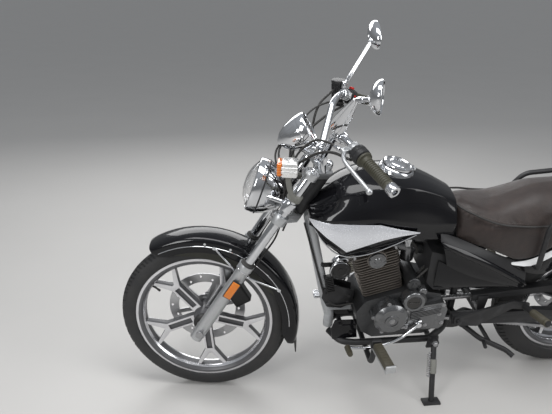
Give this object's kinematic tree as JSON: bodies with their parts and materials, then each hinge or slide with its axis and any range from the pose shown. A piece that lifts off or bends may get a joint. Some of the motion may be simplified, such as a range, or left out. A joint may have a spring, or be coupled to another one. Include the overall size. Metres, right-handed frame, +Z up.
{
  "type": "cruiser motorcycle",
  "caption": "Small cruiser motorcycle with cast wheels, round headlamp, teardrop tank and dual seat, leaning on its side stand with the front wheel turned.",
  "frame": {"origin": "centre of the bounding box on the ground", "axes": "+X forward along the machine, +Y to its left, +Z up"},
  "size_m": [2.0189, 0.9148, 1.2963],
  "materials": {
    "black_gloss": "gloss",
    "silver_paint": "gloss",
    "white_paint": "gloss",
    "frame_black": "satin",
    "frame_silver": "satin",
    "engine_alloy": "satin",
    "engine_dark": "matt",
    "fin_alloy": "matt",
    "chrome": "polished",
    "fork_alloy": "satin",
    "rim_alloy": "satin",
    "disc_steel": "brushed",
    "steel": "satin",
    "tyre_black": "matt",
    "rubber": "matt",
    "seat_leather": "satin",
    "black_plastic": "matt",
    "lens_glass": "clear",
    "amber_lens": "gloss",
    "red_lens": "gloss",
    "caliper_black": "satin"
  },
  "bodies": {
    "chassis": {"frame": "frame_black", "down_tube": "frame_silver", "crankcase": "engine_dark", "engine_covers": "engine_alloy", "cylinder": "fin_alloy", "cylinder_head": "fin_alloy", "carburettor": "engine_alloy", "airbox": "black_plastic", "exhaust": "chrome", "fuel_tank": "black_gloss", "tank_panels": "silver_paint", "seat": "seat_leather", "side_covers": "black_gloss", "tail_cowl": "white_paint", "rear_fender": "black_gloss", "rear_lamps": "red_lens", "grab_rail": "frame_black", "swingarm": "frame_black", "rear_axle": "steel", "shock_absorbers": "frame_black", "shock_springs": "chrome", "drive_chain": "steel", "chain_guard": "black_plastic", "rear_caliper": "caliper_black", "foot_controls": "steel", "passenger_pegs": "frame_black", "clutch_cable": "rubber"},
    "tank_lid": {"fuel_cap": "chrome"},
    "side_prop": {"side_stand": "frame_black"},
    "centre_prop": {"centre_stand": "frame_black"},
    "front_end": {"steering_yokes": "fork_alloy", "fork_tubes": "chrome", "fork_lowers": "fork_alloy", "front_axle": "steel", "handlebar": "chrome", "grips": "rubber", "hand_controls": "fork_alloy", "mirrors": "chrome", "headlight_shell": "chrome", "headlight_lens": "lens_glass", "front_signals": "black_plastic", "instrument": "chrome", "front_fender": "black_gloss", "front_caliper": "caliper_black", "brake_hose": "rubber"},
    "front_roller": {"front_tyre": "tyre_black", "front_wheel": "rim_alloy", "front_disc": "disc_steel"},
    "rear_roller": {"rear_tyre": "tyre_black", "rear_wheel": "rim_alloy", "rear_disc": "disc_steel", "rear_sprocket": "steel"}
  },
  "joints": [
    {"name": "steering", "type": "hinge", "parent": "chassis", "child": "front_end", "pos_m": [0.67344, -0.14719, 0.27101], "axis": [-0.5013, 0.1652, 0.8494], "range_deg": [-23, 47]},
    {"name": "front_wheel_spin", "type": "hinge", "parent": "front_end", "child": "front_roller", "pos_m": [0.71576, -0.15273, 0.29706], "axis": [0.1802, 0.98, -0.0843], "continuous": true},
    {"name": "rear_wheel_spin", "type": "hinge", "parent": "chassis", "child": "rear_roller", "pos_m": [-0.6683, -0.14166, 0.29746], "axis": [0.0003, 0.9816, -0.1908], "continuous": true},
    {"name": "side_stand_fold", "type": "hinge", "parent": "chassis", "child": "side_prop", "pos_m": [-0.10215, -0.04032, 0.20119], "axis": [0.0003, 0.9816, -0.1908], "range_deg": [0, 95]},
    {"name": "centre_stand_fold", "type": "hinge", "parent": "chassis", "child": "centre_prop", "pos_m": [-0.2062, -0.15425, 0.23337], "axis": [0.0003, 0.9816, -0.1908], "range_deg": [-75, 0]},
    {"name": "fuel_cap_lid", "type": "hinge", "parent": "chassis", "child": "tank_lid", "pos_m": [0.03233, -0.03223, 0.86145], "axis": [0.0003, 0.9816, -0.1908], "range_deg": [-100, 0]}
  ]
}
